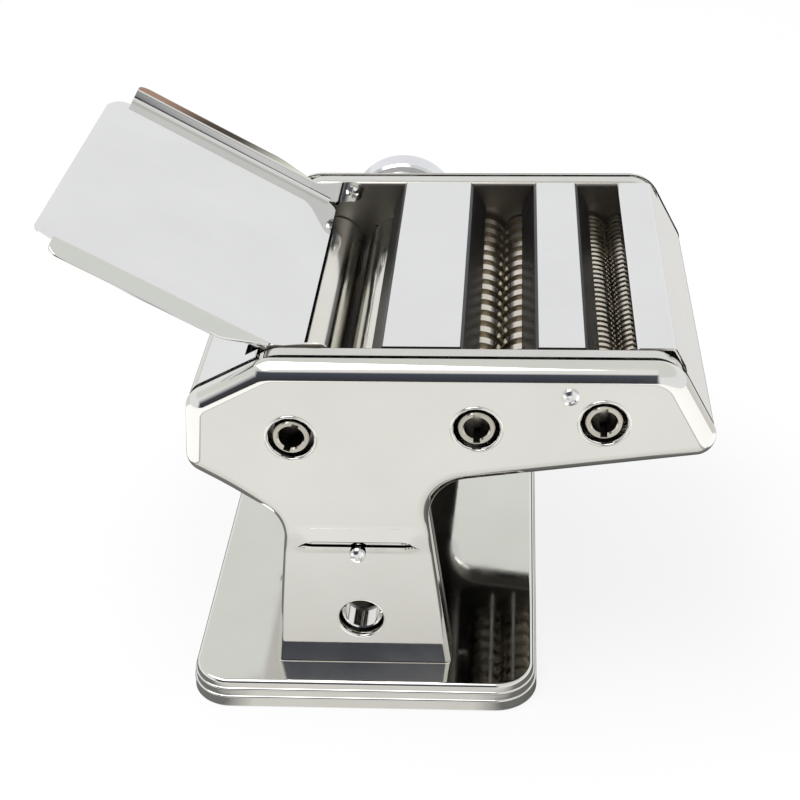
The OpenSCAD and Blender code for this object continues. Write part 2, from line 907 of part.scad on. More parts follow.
module scraper_fixed() {
  color(steel) {
    translate([ax_s1[0], 0, ax_s1[1]])
      rotate([90, 0, 0])
        linear_extrude(height = 2 * frame_in - 0.8, center = true)
          scraper_blade(1);
    translate([scraper_at[0], 0.4 - frame_in, scraper_at[1]])
      cube([1, 2 * frame_in - 0.8, 7.6]);
    translate([scraper_at[0], -tongue, scraper_at[1] + 2])
      cube([1, 2 * tongue, 4]);
  }
}

module scraper_moving() {
  color(steel)
    translate([ax_s2[0], 0, ax_s2[1]])
      rotate([90, 0, 0])
        linear_extrude(height = 2 * barrel - 1, center = true)
          scraper_blade(-1);
}

// ---- carriage of the movable roller ----
module block_body(y1) {
  x0 = ax_s2[0] - 9;
  difference() {
    union() {
      translate([x0, -y1, ax_s2[1] - 23.7])
        cube([18, y1 - frame_in + 0.5, 33.2]);
      translate([x0, -y1, ax_s2[1] - 25.7])
        cube([18, y1 - frame_out - 0.2, 37.2]);
    }
    near_cyl(ax_s2, 4.05, frame_in - 0.9, frame_out + 1.8);
  }
}

module bearing_block_near() {
  color(brass)
    block_body(frame_out + 1.2);
}

module bearing_block_far() {
  color(brass)
    mirror([0, 1, 0])
      difference() {
        block_body(frame_out + 5.2);
        translate([ax_s2[0] - 1.8, -frame_out - 5.6, ax_s2[1] - 3.2])
          cube([3.6, 3.5, 6.4]);
      }
}

module carriage_bar() {
  color(dark)
    translate([ax_s2[0] + 4.9, 0.5 - frame_in, ax_s2[1] - 22.7])
      cube([4, 2 * frame_in - 1, 6]);
}

// ---- bushes ----
module flange_bush(p, ri, ro, rl, y1) {
  spun(p)
    polygon([[ri, 0.2 - frame_in], [ro, 0.2 - frame_in], [ro, -frame_out], [rl, -frame_out],
             [rl, -y1], [ri, -y1]]);
}

module near_bushes() {
  color(brass) {
    flange_bush(ax_s1, 7.05, 9, 10.2, frame_out + 1.3);
    flange_bush(ax_f1, 7.05, 8.5, 8.8, frame_out + 1.3);
    flange_bush(ax_t1, 7.05, 8.5, 8.8, frame_out + 1.3);
    flange_bush(ax_f2, 3.05, 4.5, 5.2, frame_out + 1);
    flange_bush(ax_t2, 3.05, 4.5, 5.2, frame_out + 1);
  }
}

module far_bushes() {
  color(brass)
    mirror([0, 1, 0])
      for (p = [ax_s1, ax_f1, ax_f2, ax_t1, ax_t2])
        flange_bush(p, 4.05, 6, 6.8, frame_out + 1.3);
}

// ---- thickness knob ----
spindle_end = panel_out + 22.1;

// Points given as radius and distance outside the panel's face
function out(p) = [for (q = p) [q[0], q[1] + panel_out]];

module knob_spindle() {
  color(dark)
    union() {
      difference() {
        spun(ax_k)
          polygon([[0, panel_out - 8.9], [8, panel_out - 8.9], [8, panel_out - 2.9],
                   [5, panel_out - 2.9], [5, spindle_end], [0, spindle_end]]);
        translate([ax_k[0], spindle_end - 8.2, ax_k[1]])
          rotate([-90, 0, 0])
            cylinder(r = 2.5, h = 10);
      }
      translate([ax_k[0] + ecc, panel_out - 12.2, ax_k[1]])
        rotate([-90, 0, 0])
          cylinder(r = 1.5, h = 3.4);
      translate([ax_k[0] - 1.5, panel_out + 2.9, ax_k[1] - 6.5])
        cube([3, 8, 3]);
    }
}

module thickness_knob() {
  color([0.93, 0.93, 0.93])
    difference() {
      spun(ax_k)
        polygon(out([[5.1, 0.4], [12.6, 0.4], [12.6, 4.1], [17.4, 4.1], [17.4, 0.4],
                     [18.4, 0.4], [19, 1], [19, 14.4], [19.6, 16.2], [21.4, 16.9],
                     [24, 16.9], [25, 17.9], [25, 28.3], [23.4, 29.9], [14, 29.9],
                     [14, 27.4], [11, 27.4], [11, 11.9], [5.1, 11.9]]));
      translate([ax_k[0] - 1.6, panel_out - 0.1, ax_k[1] - 6.7])
        cube([3.2, 13, 4]);
      for (k = [0:6])
        translate([ax_k[0] + 15 * sin(k * 30), panel_out + 3.9, ax_k[1] + 15 * cos(k * 30)])
          rotate([-90, 0, 0])
            cylinder(r = 2.1, h = 3.5);
    }
}

module knob_cap() {
  color([0.93, 0.93, 0.93])
    spun(ax_k)
      polygon(out([[0, 27.4], [14, 27.4], [14, 29.1], [13.4, 29.7], [0, 30.1]]));
}

module knob_spring() {
  color(steel)
    spun(ax_k) {
      translate([6.2, panel_out + 11.9])
        square([0.5, 10.2]);
      for (k = [0:5])
        translate([5.8, panel_out + 11.9 + k * 1.92])
          square([2.2, 0.6]);
    }
}

module knob_washer() {
  color(steel)
    spun(ax_k)
      polygon(out([[2.5, 22.1], [8.6, 22.1], [8.6, 23.3], [2.5, 23.3]]));
}

module knob_screw() {
  color(steel)
    spun(ax_k)
      polygon(out([[0, 14.9], [2.5, 14.9], [2.5, 23.3], [4.4, 23.3], [4.2, 24.9], [3, 25.7],
                   [0, 25.7]]));
}

module spindle_bush() {
  color(brass)
    spun(ax_k)
      polygon(out([[5.05, -2.7], [10, -2.7], [10, -1.2], [7, -1.2], [7, 0.1], [5.05, 0.1]]));
}

module index_pin() {
  color(dark)
    spun(ax_k + [0, 15])
      polygon(out([[0, -2.2], [3.5, -2.2], [3.5, -1.2], [2, -1.2], [2, 3.3], [1.4, 3.9],
                   [0, 3.9]]));
}

base_plate();
rubber_feet();
base_screws();
leg_brackets();
drive_side_panel();
knob_side_panel();
drive_side_frame();
knob_side_frame();
panel_spacers();
panel_screws();
tie_rods();
tie_rod_nuts();
left_cover();
wide_cover();
narrow_cover();
right_cover();
feed_tray();
tray_screws();
smooth_roller_driven();
smooth_drive_gear();
smooth_drive_socket();
smooth_roller_movable();
smooth_follower_gear();
bearing_block_near();
bearing_block_far();
carriage_bar();
scraper_fixed();
scraper_moving();
fettuccine_roller_driven();
fettuccine_roller_follower();
fettuccine_drive_gear();
fettuccine_follower_gear();
fettuccine_socket();
fettuccine_comb_left();
fettuccine_comb_right();
tagliolini_roller_driven();
tagliolini_roller_follower();
tagliolini_drive_gear();
tagliolini_follower_gear();
tagliolini_socket();
tagliolini_comb_left();
tagliolini_comb_right();
near_bushes();
far_bushes();
clamp_bush();
thickness_knob();
knob_cap();
knob_spindle();
knob_spring();
knob_washer();
knob_screw();
spindle_bush();
index_pin();
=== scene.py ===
"""Looks of the pasta roller machine: materials, fine shapes, studio and camera."""

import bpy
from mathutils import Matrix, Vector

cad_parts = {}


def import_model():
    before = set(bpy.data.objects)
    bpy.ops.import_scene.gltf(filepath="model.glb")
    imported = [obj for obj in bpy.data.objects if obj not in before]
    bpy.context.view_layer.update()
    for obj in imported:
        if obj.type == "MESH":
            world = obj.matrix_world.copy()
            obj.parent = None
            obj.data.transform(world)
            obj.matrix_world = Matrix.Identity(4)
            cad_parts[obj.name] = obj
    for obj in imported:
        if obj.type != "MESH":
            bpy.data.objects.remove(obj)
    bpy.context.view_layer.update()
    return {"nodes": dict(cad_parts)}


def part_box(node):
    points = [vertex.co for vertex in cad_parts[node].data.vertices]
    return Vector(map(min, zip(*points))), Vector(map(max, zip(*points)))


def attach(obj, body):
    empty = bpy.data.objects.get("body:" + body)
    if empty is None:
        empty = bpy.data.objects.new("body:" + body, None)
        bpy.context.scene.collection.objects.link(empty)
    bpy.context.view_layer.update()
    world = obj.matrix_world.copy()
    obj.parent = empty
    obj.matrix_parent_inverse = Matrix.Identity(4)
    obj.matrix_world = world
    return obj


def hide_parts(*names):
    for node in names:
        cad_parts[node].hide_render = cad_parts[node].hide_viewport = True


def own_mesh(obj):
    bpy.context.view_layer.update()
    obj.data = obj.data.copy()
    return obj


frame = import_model()

import math

import bmesh
import bpy
from mathutils import Matrix, Vector
from mathutils.geometry import delaunay_2d_cdt

MM = 0.001


def placed(name, mesh, material):
    """An object of this mesh, in the scene and with its one material."""
    mesh.materials.append(material)
    piece = bpy.data.objects.new(name, mesh)
    bpy.context.scene.collection.objects.link(piece)
    return piece


def turned_out(mesh, creased):
    """Turns the faces of closed shells outwards; creased makes the edges of flat faces sharp."""
    shell = bmesh.new()
    shell.from_mesh(mesh)
    bmesh.ops.recalc_face_normals(shell, faces=shell.faces)
    if creased:
        for edge in shell.edges:
            edge.smooth = all(face.smooth for face in edge.link_faces)
    shell.to_mesh(mesh)
    shell.free()


# ---------------------------------------------------------------- materials
def node_tree(name):
    """A new material, with its node tree and its shader."""
    material = bpy.data.materials.new(name)
    material.use_nodes = True
    tree = material.node_tree
    shader = tree.nodes["Principled BSDF"]
    return material, tree, shader


def noise(tree, scale, stretch=(1, 1, 1), detail=3.0, rough=0.55):
    """Noise in the object's own coordinates; stretch above 1 makes it finer along that axis."""
    coord = tree.nodes.new("ShaderNodeTexCoord")
    mapping = tree.nodes.new("ShaderNodeMapping")
    mapping.inputs["Scale"].default_value = stretch
    texture = tree.nodes.new("ShaderNodeTexNoise")
    texture.inputs["Scale"].default_value = scale
    texture.inputs["Detail"].default_value = detail
    texture.inputs["Roughness"].default_value = rough
    tree.links.new(coord.outputs["Object"], mapping.inputs["Vector"])
    tree.links.new(mapping.outputs["Vector"], texture.inputs["Vector"])
    return texture.outputs["Fac"]


def spread(tree, value, low, high, start=0.3, end=0.7):
    """The value from start to end, mapped to low to high."""
    node = tree.nodes.new("ShaderNodeMapRange")
    node.inputs["From Min"].default_value = start
    node.inputs["From Max"].default_value = end
    node.inputs["To Min"].default_value = low
    node.inputs["To Max"].default_value = high
    tree.links.new(value, node.inputs["Value"])
    return node.outputs["Result"]


def times(tree, one, two):
    """The product of two values."""
    node = tree.nodes.new("ShaderNodeMath")
    node.operation = "MULTIPLY"
    tree.links.new(one, node.inputs[0])
    tree.links.new(two, node.inputs[1])
    return node.outputs[0]


def mixed(tree, share, one, two):
    """Colour one where the share is 0, colour two where it is 1."""
    node = tree.nodes.new("ShaderNodeMix")
    node.data_type = "RGBA"
    for socket, value in (("A", one), ("B", two)):
        if isinstance(value, tuple):
            node.inputs[socket].default_value = (*value, 1)
        else:
            tree.links.new(value, node.inputs[socket])
    tree.links.new(share, node.inputs["Factor"])
    return node.outputs["Result"]


def bumps(tree, shader, height, strength, distance, before=None):
    """Bump from a height, laid over the bump before it."""
    node = tree.nodes.new("ShaderNodeBump")
    node.inputs["Strength"].default_value = strength
    node.inputs["Distance"].default_value = distance
    tree.links.new(height, node.inputs["Height"])
    if before is not None:
        tree.links.new(before, node.inputs["Normal"])
    tree.links.new(node.outputs["Normal"], shader.inputs["Normal"])
    return node.outputs["Normal"]


def metal(name, light, dark, rough, worn, grain=(1, 1, 1), grain_scale=900.0, grain_depth=0.02,
          waves=0.0, anisotropic=0.0):
    """Metal with smudged roughness, fine grain and, with waves above 0, the slow waviness of rolled sheet."""
    material, tree, shader = node_tree(name)
    shader.inputs["Metallic"].default_value = 1.0
    shader.inputs["Anisotropic"].default_value = anisotropic
    cloud = noise(tree, 28.0, detail=4.0)
    tree.links.new(mixed(tree, spread(tree, cloud, 0, 1), light, dark),
                   shader.inputs["Base Color"])
    smudge = noise(tree, 60.0, detail=5.0, rough=0.65)
    tree.links.new(spread(tree, smudge, rough, worn, 0.35, 0.75), shader.inputs["Roughness"])
    fine = noise(tree, grain_scale, grain, detail=2.0)
    normal = bumps(tree, shader, fine, grain_depth, 0.0001)
    if waves:
        bumps(tree, shader, noise(tree, 14.0, detail=1.0), waves, 0.002, normal)
    return material


def where(tree, output, axis, start, end, mirror=False):
    """0 to 1 as one coordinate of a Geometry output goes from start to end."""
    geometry = tree.nodes.new("ShaderNodeNewGeometry")
    split = tree.nodes.new("ShaderNodeSeparateXYZ")
    tree.links.new(geometry.outputs[output], split.inputs[0])
    value = split.outputs[axis]
    if mirror:
        size = tree.nodes.new("ShaderNodeMath")
        size.operation = "ABSOLUTE"
        tree.links.new(value, size.inputs[0])
        value = size.outputs[0]
    return spread(tree, value, 0, 1, start, end)


def shade(material, mask, colour, rough):
    """Where the mask is 0 the metal has this darker colour and this roughness."""
    tree = material.node_tree
    shader = tree.nodes["Principled BSDF"]
    for name, low in (("Base Color", (*colour, 1)), ("Roughness", (rough, rough, rough, 1))):
        source = shader.inputs[name].links[0].from_socket
        node = tree.nodes.new("ShaderNodeMix")
        node.data_type = "RGBA"
        node.inputs["A"].default_value = low
        tree.links.new(mask, node.inputs["Factor"])
        tree.links.new(source, node.inputs["B"])
        tree.links.new(node.outputs["Result"], shader.inputs[name])


def rubber(name, colour, pale):
    """Dull rubber with a fine grain."""
    material, tree, shader = node_tree(name)
    shader.inputs["Roughness"].default_value = 0.6
    tree.links.new(mixed(tree, spread(tree, noise(tree, 120.0), 0, 1), colour, pale),
                   shader.inputs["Base Color"])
    bumps(tree, shader, noise(tree, 1500.0), 0.15, 0.0002)
    return material


polished = metal("polished_sheet", (0.735, 0.725, 0.69), (0.70, 0.69, 0.655), 0.035, 0.09, waves=0.03)
COVER_STEEL = ((0.735, 0.73, 0.71), (0.705, 0.70, 0.68), 0.035, 0.08)
cover_sheet = metal("cover_sheet", *COVER_STEEL, waves=0.03)
# the covers between the slots: dark on the faces that stand in a slot
guarded = metal("guarded_sheet", *COVER_STEEL, waves=0.03)
shade(guarded, where(guarded.node_tree, "Normal", "Z", 0.75, 0.95), (0.07, 0.07, 0.075), 0.3)
SATIN_STEEL = ((0.66, 0.65, 0.61), (0.60, 0.59, 0.55))
satin = metal("satin_sheet", *SATIN_STEEL, 0.10, 0.2)
# the side frames: painted shade, darker on the inner face and darker still down inside the body, where light
# doesn't reach
framing = metal("frame_sheet", *SATIN_STEEL, 0.08, 0.16)
shade(framing, where(framing.node_tree, "Position", "Y", 0.0745, 0.0752, True), (0.33, 0.31, 0.28), 0.3)
shade(framing, where(framing.node_tree, "Position", "Z", 0.105, 0.124), (0.13, 0.12, 0.11), 0.34)
inner = metal("inner_sheet", (0.30, 0.29, 0.27), (0.22, 0.215, 0.20), 0.26, 0.42)
roller = metal("roller_metal", (0.72, 0.70, 0.63), (0.68, 0.66, 0.59), 0.10, 0.17,
               grain=(1, 0.05, 1), grain_scale=2500.0, grain_depth=0.015)
cutter = metal("cutter_metal", (0.66, 0.61, 0.53), (0.56, 0.52, 0.44), 0.16, 0.3,
               grain=(1, 8, 1), grain_scale=900.0, grain_depth=0.04)
# rollers and cutters go dark below their axes, where no light of the room reaches them
for turned, low, high in ((roller, 0.120, 0.130), (cutter, 0.112, 0.122)):
    shade(turned, where(turned.node_tree, "Position", "Z", low, high), (0.10, 0.09, 0.078), 0.3)
gear_steel = metal("gear_steel", (0.34, 0.33, 0.31), (0.24, 0.23, 0.22), 0.3, 0.48)
# the drive sockets: painted shade, dark behind their front ring, deep in the panel's holes
socket_steel = metal("socket_steel", (0.55, 0.52, 0.46), (0.42, 0.395, 0.34), 0.12, 0.24)
shade(socket_steel, where(socket_steel.node_tree, "Position", "Y", 0.0886, 0.0894, True),
      (0.05, 0.045, 0.04), 0.45)
screw_steel = metal("screw_steel", (0.84, 0.84, 0.83), (0.74, 0.74, 0.73), 0.12, 0.24)
brass = metal("bearing_brass", (0.60, 0.46, 0.25), (0.48, 0.37, 0.19), 0.22, 0.4)
knob_chrome = metal("knob_finish", (0.74, 0.74, 0.75), (0.68, 0.68, 0.69), 0.10, 0.18)
foot_rubber = rubber("foot_rubber", (0.025, 0.025, 0.025), (0.05, 0.05, 0.05))

FINISH = {
    "base_plate": polished, "drive_side_panel": polished, "knob_side_panel": polished,
    "left_cover": cover_sheet, "wide_cover": guarded, "narrow_cover": guarded,
    "right_cover": cover_sheet, "feed_tray": cover_sheet,
    "drive_side_frame": framing, "knob_side_frame": framing,
    "leg_brackets": inner, "panel_spacers": inner, "tie_rods": inner, "tie_rod_nuts": inner,
    "carriage_bar": inner, "scraper_fixed": satin, "scraper_moving": satin,
    "smooth_roller_driven": roller, "smooth_roller_movable": roller,
    "smooth_drive_socket": socket_steel, "fettuccine_socket": socket_steel,
    "tagliolini_socket": socket_steel,
    "bearing_block_near": brass, "bearing_block_far": brass, "near_bushes": brass,
    "far_bushes": brass, "spindle_bush": brass,
    "clamp_bush": polished, "base_screws": screw_steel, "panel_screws": screw_steel,
    "tray_screws": screw_steel, "knob_screw": screw_steel, "knob_washer": screw_steel,
    "knob_spring": screw_steel, "index_pin": gear_steel, "knob_spindle": gear_steel,
    "thickness_knob": knob_chrome, "knob_cap": knob_chrome, "rubber_feet": foot_rubber,
}
for roller_pair in ("fettuccine", "tagliolini"):
    FINISH[roller_pair + "_roller_driven"] = cutter
    FINISH[roller_pair + "_roller_follower"] = cutter
    FINISH[roller_pair + "_comb_left"] = satin
    FINISH[roller_pair + "_comb_right"] = satin
for roller_pair in ("smooth", "fettuccine", "tagliolini"):
    FINISH[roller_pair + "_drive_gear"] = gear_steel
    FINISH[roller_pair + "_follower_gear"] = gear_steel


def dress(node):
    """Gives a CAD node its finish."""
    data = frame["nodes"][node].data
    data.materials.clear()
    data.materials.append(FINISH[node])


for node in frame["nodes"]:
    dress(node)


# ---------------------------------------------------------------- pressed side panels
# depths from the middle of the machine, sheet thickness, and how far the foot stands proud
PANEL_OUT, PANEL_RIM, SHEET, FOOT_PROUD = 90.1, 82.7, 1.2, 0.9
RIM_DEPTH = PANEL_OUT - PANEL_RIM
# heights of the foot's upper end and of the sheet's bottom edge
FOOT_TOP, BOTTOM = 70.2, 12.5
# the ledge above the foot: height of its start, its depth, and height of its step
LEDGE_TOP, LEDGE_DEEP, LEDGE_STEP = 81, 2.1, 2.6
# half width of the ledge, and the width over which it fades out
LEDGE_HALF, LEDGE_FADE = 25.6, 8.5
# height at which the face starts to come forward to the foot, and the stretch that takes
PROUD_TOP, PROUD_FADE = 77, 9.4
# edge bend of the leg, and what the body adds to its width and depth between two heights
LEG_BEND, BODY_WIDER, BODY_DEEPER, BEND_GROWS = 2.4, 5.4, 5.0, (74, 99)
BEND_STEPS = 13
# corners of the outline with their radii, up the right side and down the left
OUTLINE = [(36.5, 5, 0), (26.1, 97.7, 18), (140.8, 113.9, 8), (120.8, 152, 14), (-32.5, 152, 15),
           (-62.4, 136.2, 10), (-65.1, 106, 8), (-27.9, 81.8, 14), (-36.5, 5, 0)]
SOCKETS = [(-22.9, 121.2), (46.9, 126.0), (94.1, 129.1)]
SOCKET_HOLE, CLAMP_HOLE, SCREW_HOLE, KNOB_HOLE, PIN_HOLE = 8.9, 9.7, 2, 7, 2
CLAMP, LEG_SCREW, TOP_SCREW, KNOB = (0, 35), (0, 67.3), (81.5, 140.6), (6.8, 121.2)
INDEX_PIN = (KNOB[0], KNOB[1] + 15)
# rolled lip of a socket hole: radius of its ring and of its roll
LIP_RING, LIP_ROLL = 9.5, 0.6
# flange of the clamp hole: outer radius, bend, inner radius and depth
COLLAR_OUT, COLLAR_BEND, COLLAR_IN, COLLAR_DEEP = 9.75, 0.85, 8.9, 4.5
FORWARD = Vector((0, -1, 0))


def smooth(value, start, end):
    """0 to 1 from start to end, flat at both."""
    share = min(max((value - start) / (end - start), 0.0), 1.0)
    return share * share * (3 - 2 * share)


def stations():
    """Points along the outline with their inward directions, close together where it bends."""
    made = []

    def straight(a, b):
        """Stations from a to b, about 1.2 mm apart."""
        length = (b - a).length
        steps = max(1, round(length / 1.2))
        inward = Vector((-(b - a).y, (b - a).x)).normalized()
        made.extend((a.lerp(b, i / steps), inward) for i in range(steps + 1))

    last = Vector(OUTLINE[0][:2])
    for i in range(1, len(OUTLINE) - 1):
        corner, radius = Vector(OUTLINE[i][:2]), OUTLINE[i][2]
        before = (corner - Vector(OUTLINE[i - 1][:2])).normalized()
        after = (Vector(OUTLINE[i + 1][:2]) - corner).normalized()
        turn = math.atan2(before.x * after.y - before.y * after.x, before.dot(after))
        reach = radius * math.tan(abs(turn) / 2)
        side = 1 if turn > 0 else -1
        start = corner - before * reach
        centre = start + Vector((-before.y, before.x)) * radius * side
        straight(last, start)
        steps = max(6, round(abs(turn) * 180 / math.pi / 4))
        for k in range(1, steps):
            a = turn * k / steps
            arm = Matrix.Rotation(a, 2) @ (start - centre)
            made.append((centre + arm, -arm.normalized() * side))
        last = corner + after * reach
    straight(last, Vector(OUTLINE[-1][:2]))
    made = [(p, n) for p, n in made if p.y > BOTTOM + 0.3]
    ends = []
    for index in (0, -1):
        p, n = made[index]
        along = Vector((n.y, -n.x))
        foot = p + along * ((BOTTOM - p.y) / along.y)
        ends.append((foot, Vector((1 / n.x, 0))))
    return [ends[0], *made, ends[1]]


def face_depth(x, z):
    """How far the face lies behind the flat of the body, the ledge and the proud foot included."""
    ledge = 0.0
    if z < LEDGE_TOP:
        share = min((LEDGE_TOP - z) / (LEDGE_TOP - FOOT_TOP), 1)
        ledge = LEDGE_DEEP * share * smooth(LEDGE_TOP - z, 0, 2.5)
    if z < FOOT_TOP:
        drop = min((FOOT_TOP - z) / LEDGE_STEP, 1)
        ledge = min(ledge, LEDGE_DEEP - (LEDGE_DEEP + FOOT_PROUD) * math.sqrt(1 - (1 - drop) ** 2))
    plain = -FOOT_PROUD * smooth(PROUD_TOP - z, 0, PROUD_FADE)
    return plain + (ledge - plain) * smooth(LEDGE_HALF - abs(x), 0, LEDGE_FADE)


def face_normal(x, z):
    """Outward direction of the face at a point, in X, depth and Z."""
    step = 0.04
    dx = (face_depth(x + step, z) - face_depth(x - step, z)) / (2 * step)
    dz = (face_depth(x, z + step) - face_depth(x, z - step)) / (2 * step)
    return Vector((-dx, -1.0, -dz)).normalized()


class Skin:
    """The outer face of a pressed panel: its points, their outward directions and its faces."""

    def __init__(self):
        self.points, self.normals, self.faces = [], [], []

    def add(self, x, depth, z, normal):
        self.points.append((x, PANEL_OUT - depth, z))
        self.normals.append(normal)
        return len(self.points) - 1

    def on_face(self, x, z, normal=None):
        return self.add(x, face_depth(x, z), z, normal or face_normal(x, z))


def bent_edge(skin, path):
    """The drawn edge, from the rim forward to the face; gives the ring of points where it ends."""
    rings = [[] for _ in range(BEND_STEPS + 3)]
    for p, n in path:
        share = smooth(p.y, *BEND_GROWS)
        width = LEG_BEND + BODY_WIDER * share
        end_x, end_z = p.x + n.x * width, p.y + n.y * width
        base = face_depth(end_x, end_z)
        deep = min(LEG_BEND + BODY_DEEPER * share, RIM_DEPTH - base)
        outward = Vector((-n.x, 0.0, -n.y)).normalized()
        rings[0].append(skin.add(p.x, RIM_DEPTH, p.y, outward))
        rings[1].append(skin.add(p.x, base + deep + 0.3 * (RIM_DEPTH - base - deep) + 0.01, p.y, outward))
        tilt = face_normal(end_x, end_z) - FORWARD
        for k in range(BEND_STEPS + 1):
            a = math.pi / 2 * k / BEND_STEPS
            x, z = p.x + n.x * width * (1 - math.cos(a)), p.y + n.y * width * (1 - math.cos(a))
            round_normal = Vector((outward.x * math.cos(a) / width, -math.sin(a) / deep,
                                   outward.z * math.cos(a) / width)).normalized()
            rings[k + 2].append(skin.add(x, base + deep * (1 - math.sin(a)), z,
                                         (round_normal + tilt * math.sin(a) ** 2).normalized()))
    for one, two in zip(rings, rings[1:]):
        for i in range(len(path) - 1):
            skin.faces.append((one[i], one[i + 1], two[i + 1], two[i]))
    return rings[-1]


def within(border, x, z):
    """Whether a point lies inside a closed line."""
    found = False
    for i in range(len(border)):
        a, b = border[i], border[i - 1]
        if (a.y > z) != (b.y > z) and x < (b.x - a.x) * (z - a.y) / (b.y - a.y) + a.x:
            found = not found
    return found


def ledge_levels():
    """Heights of the rows of points that draw the ledge and the top of the foot."""
    levels = [FOOT_TOP - 3.2 - 0.6 * k for k in range(3)]
    levels += [FOOT_TOP - LEDGE_STEP * (1 - math.cos(math.pi / 2 * k / 14)) for k in range(15)]
    levels += [FOOT_TOP + step for step in (0.06, 0.4, 0.8, 1.4, 2, 2.8, 3.6, 4.4, 5.2, 6, 6.8, 7.6,
                                            8.2, 8.6, 9, 9.4, 9.8, 10.2, 10.5, 10.8, 11.4)]
    return levels


def web(skin, ring, holes):
    """The face inside the bent edge, with its holes."""
    flat = [Vector((skin.points[i][0], skin.points[i][2])) for i in ring]
    index = list(ring)
    edges = [(i, i + 1) for i in range(len(flat) - 1)]
    first, last = flat[0].copy(), flat[-1].copy()
    steps = 24
    for k in range(1, steps):
        spot = last.lerp(first, k / steps)
        edges.append((len(flat) - 1, len(flat)))
        flat.append(spot)
        index.append(skin.on_face(spot.x, spot.y, FORWARD))
    edges.append((len(flat) - 1, 0))
    border = list(flat)
    for (hx, hz), radius in holes:
        start = len(flat)
        turns = 64 if radius > 5 else 24
        for k in range(turns):
            a = 2 * math.pi * k / turns
            x, z = hx + radius * math.cos(a), hz + radius * math.sin(a)
            flat.append(Vector((x, z)))
            index.append(skin.on_face(x, z, FORWARD))
            edges.append((start + k, start + (k + 1) % turns))

    def in_hole(x, z, share, margin):
        return any(math.hypot(x - hx, z - hz) < radius * share + margin for (hx, hz), radius in holes)

    for z in ledge_levels():
        for x in (k * 1.2 for k in range(-22, 23)):
            if not in_hole(x, z, 1, 0.25):
                flat.append(Vector((x, z)))
                index.append(skin.on_face(x, z))
    verts, _, tris, originals, _, _ = delaunay_2d_cdt(flat, edges, [], 0, 1e-5)
    chosen = [index[source[0]] if source else skin.on_face(*verts[i])
              for i, source in enumerate(originals)]
    for tri in tris:
        x = sum(verts[i][0] for i in tri) / 3
        z = sum(verts[i][1] for i in tri) / 3
        if within(border, x, z) and not in_hole(x, z, 0.98, 0):
            skin.faces.append(tuple(chosen[i] for i in tri))


def sheet_shell(skin, side):
    """The skin, its copy one sheet thickness further in, and the cut edges between them."""
    shell = bmesh.new()
    count = len(skin.points)
    for (x, y, z), n in zip(skin.points, skin.normals):
        shell.verts.new((x * MM, side * y * MM, z * MM))
    for (x, y, z), n in zip(skin.points, skin.normals):
        shell.verts.new(((x - n.x * SHEET) * MM, side * (y + n.y * SHEET) * MM,
                         (z - n.z * SHEET) * MM))
    shell.verts.ensure_lookup_table()
    used = {}
    for face in skin.faces:
        loop = face if side < 0 else face[::-1]
        try:
            shell.faces.new([shell.verts[i] for i in loop])
            shell.faces.new([shell.verts[i + count] for i in loop[::-1]])
        except ValueError:
            continue
        for a, b in zip(loop, loop[1:] + loop[:1]):
            used[(a, b)] = True
    cut = [shell.faces.new([shell.verts[i] for i in (b, a, a + count, b + count)])
           for a, b in used if (b, a) not in used]
    return shell, cut


def turned_rings(shell, side, lips, collar):
    """The closed rings round the holes; gives the faces of the flange that keep sharp edges."""
    roll = [(LIP_RING - LIP_ROLL * math.cos(a), -LIP_ROLL * math.sin(a))
            for a in [math.pi * k / 10 for k in range(20)]]
    profiles = [(spot, roll, 0) for spot in lips]
    if collar:
        bend = [(COLLAR_OUT - COLLAR_BEND * math.sin(a),
                 -FOOT_PROUD - 0.03 + COLLAR_BEND * (1 - math.cos(a)))
                for a in [math.pi / 2 * k / 8 for k in range(9)]]
        profiles.append((CLAMP, bend + [(COLLAR_IN, COLLAR_DEEP), (10, COLLAR_DEEP)], 2))
    turns, made, hard = 96, [], []
    for (hx, hz), profile, flat_faces in profiles:
        grid = []
        for k in range(turns):
            a = 2 * math.pi * k / turns
            grid.append([shell.verts.new(((hx + r * math.cos(a)) * MM, side * (PANEL_OUT - d) * MM,
                                          (hz + r * math.sin(a)) * MM)) for r, d in profile])
        for one, two in zip(grid, grid[1:] + grid[:1]):
            for i in range(len(profile)):
                j = (i + 1) % len(profile)
                made.append(shell.faces.new([one[i], two[i], two[j], one[j]]))
                if i >= len(profile) - flat_faces:
                    hard.append(made[-1])
    bmesh.ops.recalc_face_normals(shell, faces=made)
    return hard


def pressed_panel(name, side, holes, lips, collar):
    """A pressed side panel: side is -1 for the drive side and 1 for the knob side."""
    skin = Skin()
    web(skin, bent_edge(skin, stations()), holes)
    shell, cut = sheet_shell(skin, side)
    hard = turned_rings(shell, side, lips, collar)
    shell.verts.index_update()
    for face in shell.faces:
        face.smooth = True
    for face in cut + hard:
        face.smooth = False
    for face in hard:
        for edge in face.edges:
            edge.smooth = False
    mesh = bpy.data.meshes.new(name)
    shell.to_mesh(mesh)
    shell.free()
    mesh.update()
    own = [(n.x, -n.y * side, n.z) for n in skin.normals]
    own += [(-n.x, n.y * side, -n.z) for n in skin.normals]
    own += [(0, 0, 0)] * (len(mesh.vertices) - len(own))
    mesh.normals_split_custom_set_from_vertices(own)
    return placed(name, mesh, polished)


def panels():
    """Both pressed side panels, in place of the solids."""
    screws = [(LEG_SCREW, SCREW_HOLE), (TOP_SCREW, SCREW_HOLE)]
    near_holes = [(spot, SOCKET_HOLE) for spot in SOCKETS] + [(CLAMP, CLAMP_HOLE)] + screws
    far_holes = [(KNOB, KNOB_HOLE), (INDEX_PIN, PIN_HOLE)] + screws
    near = pressed_panel("near_panel", -1, near_holes, SOCKETS, True)
    far = pressed_panel("far_panel", 1, far_holes, [], False)
    for piece, node in ((near, "drive_side_panel"), (far, "knob_side_panel")):
        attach(piece, "body")
        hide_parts(node)


panels()


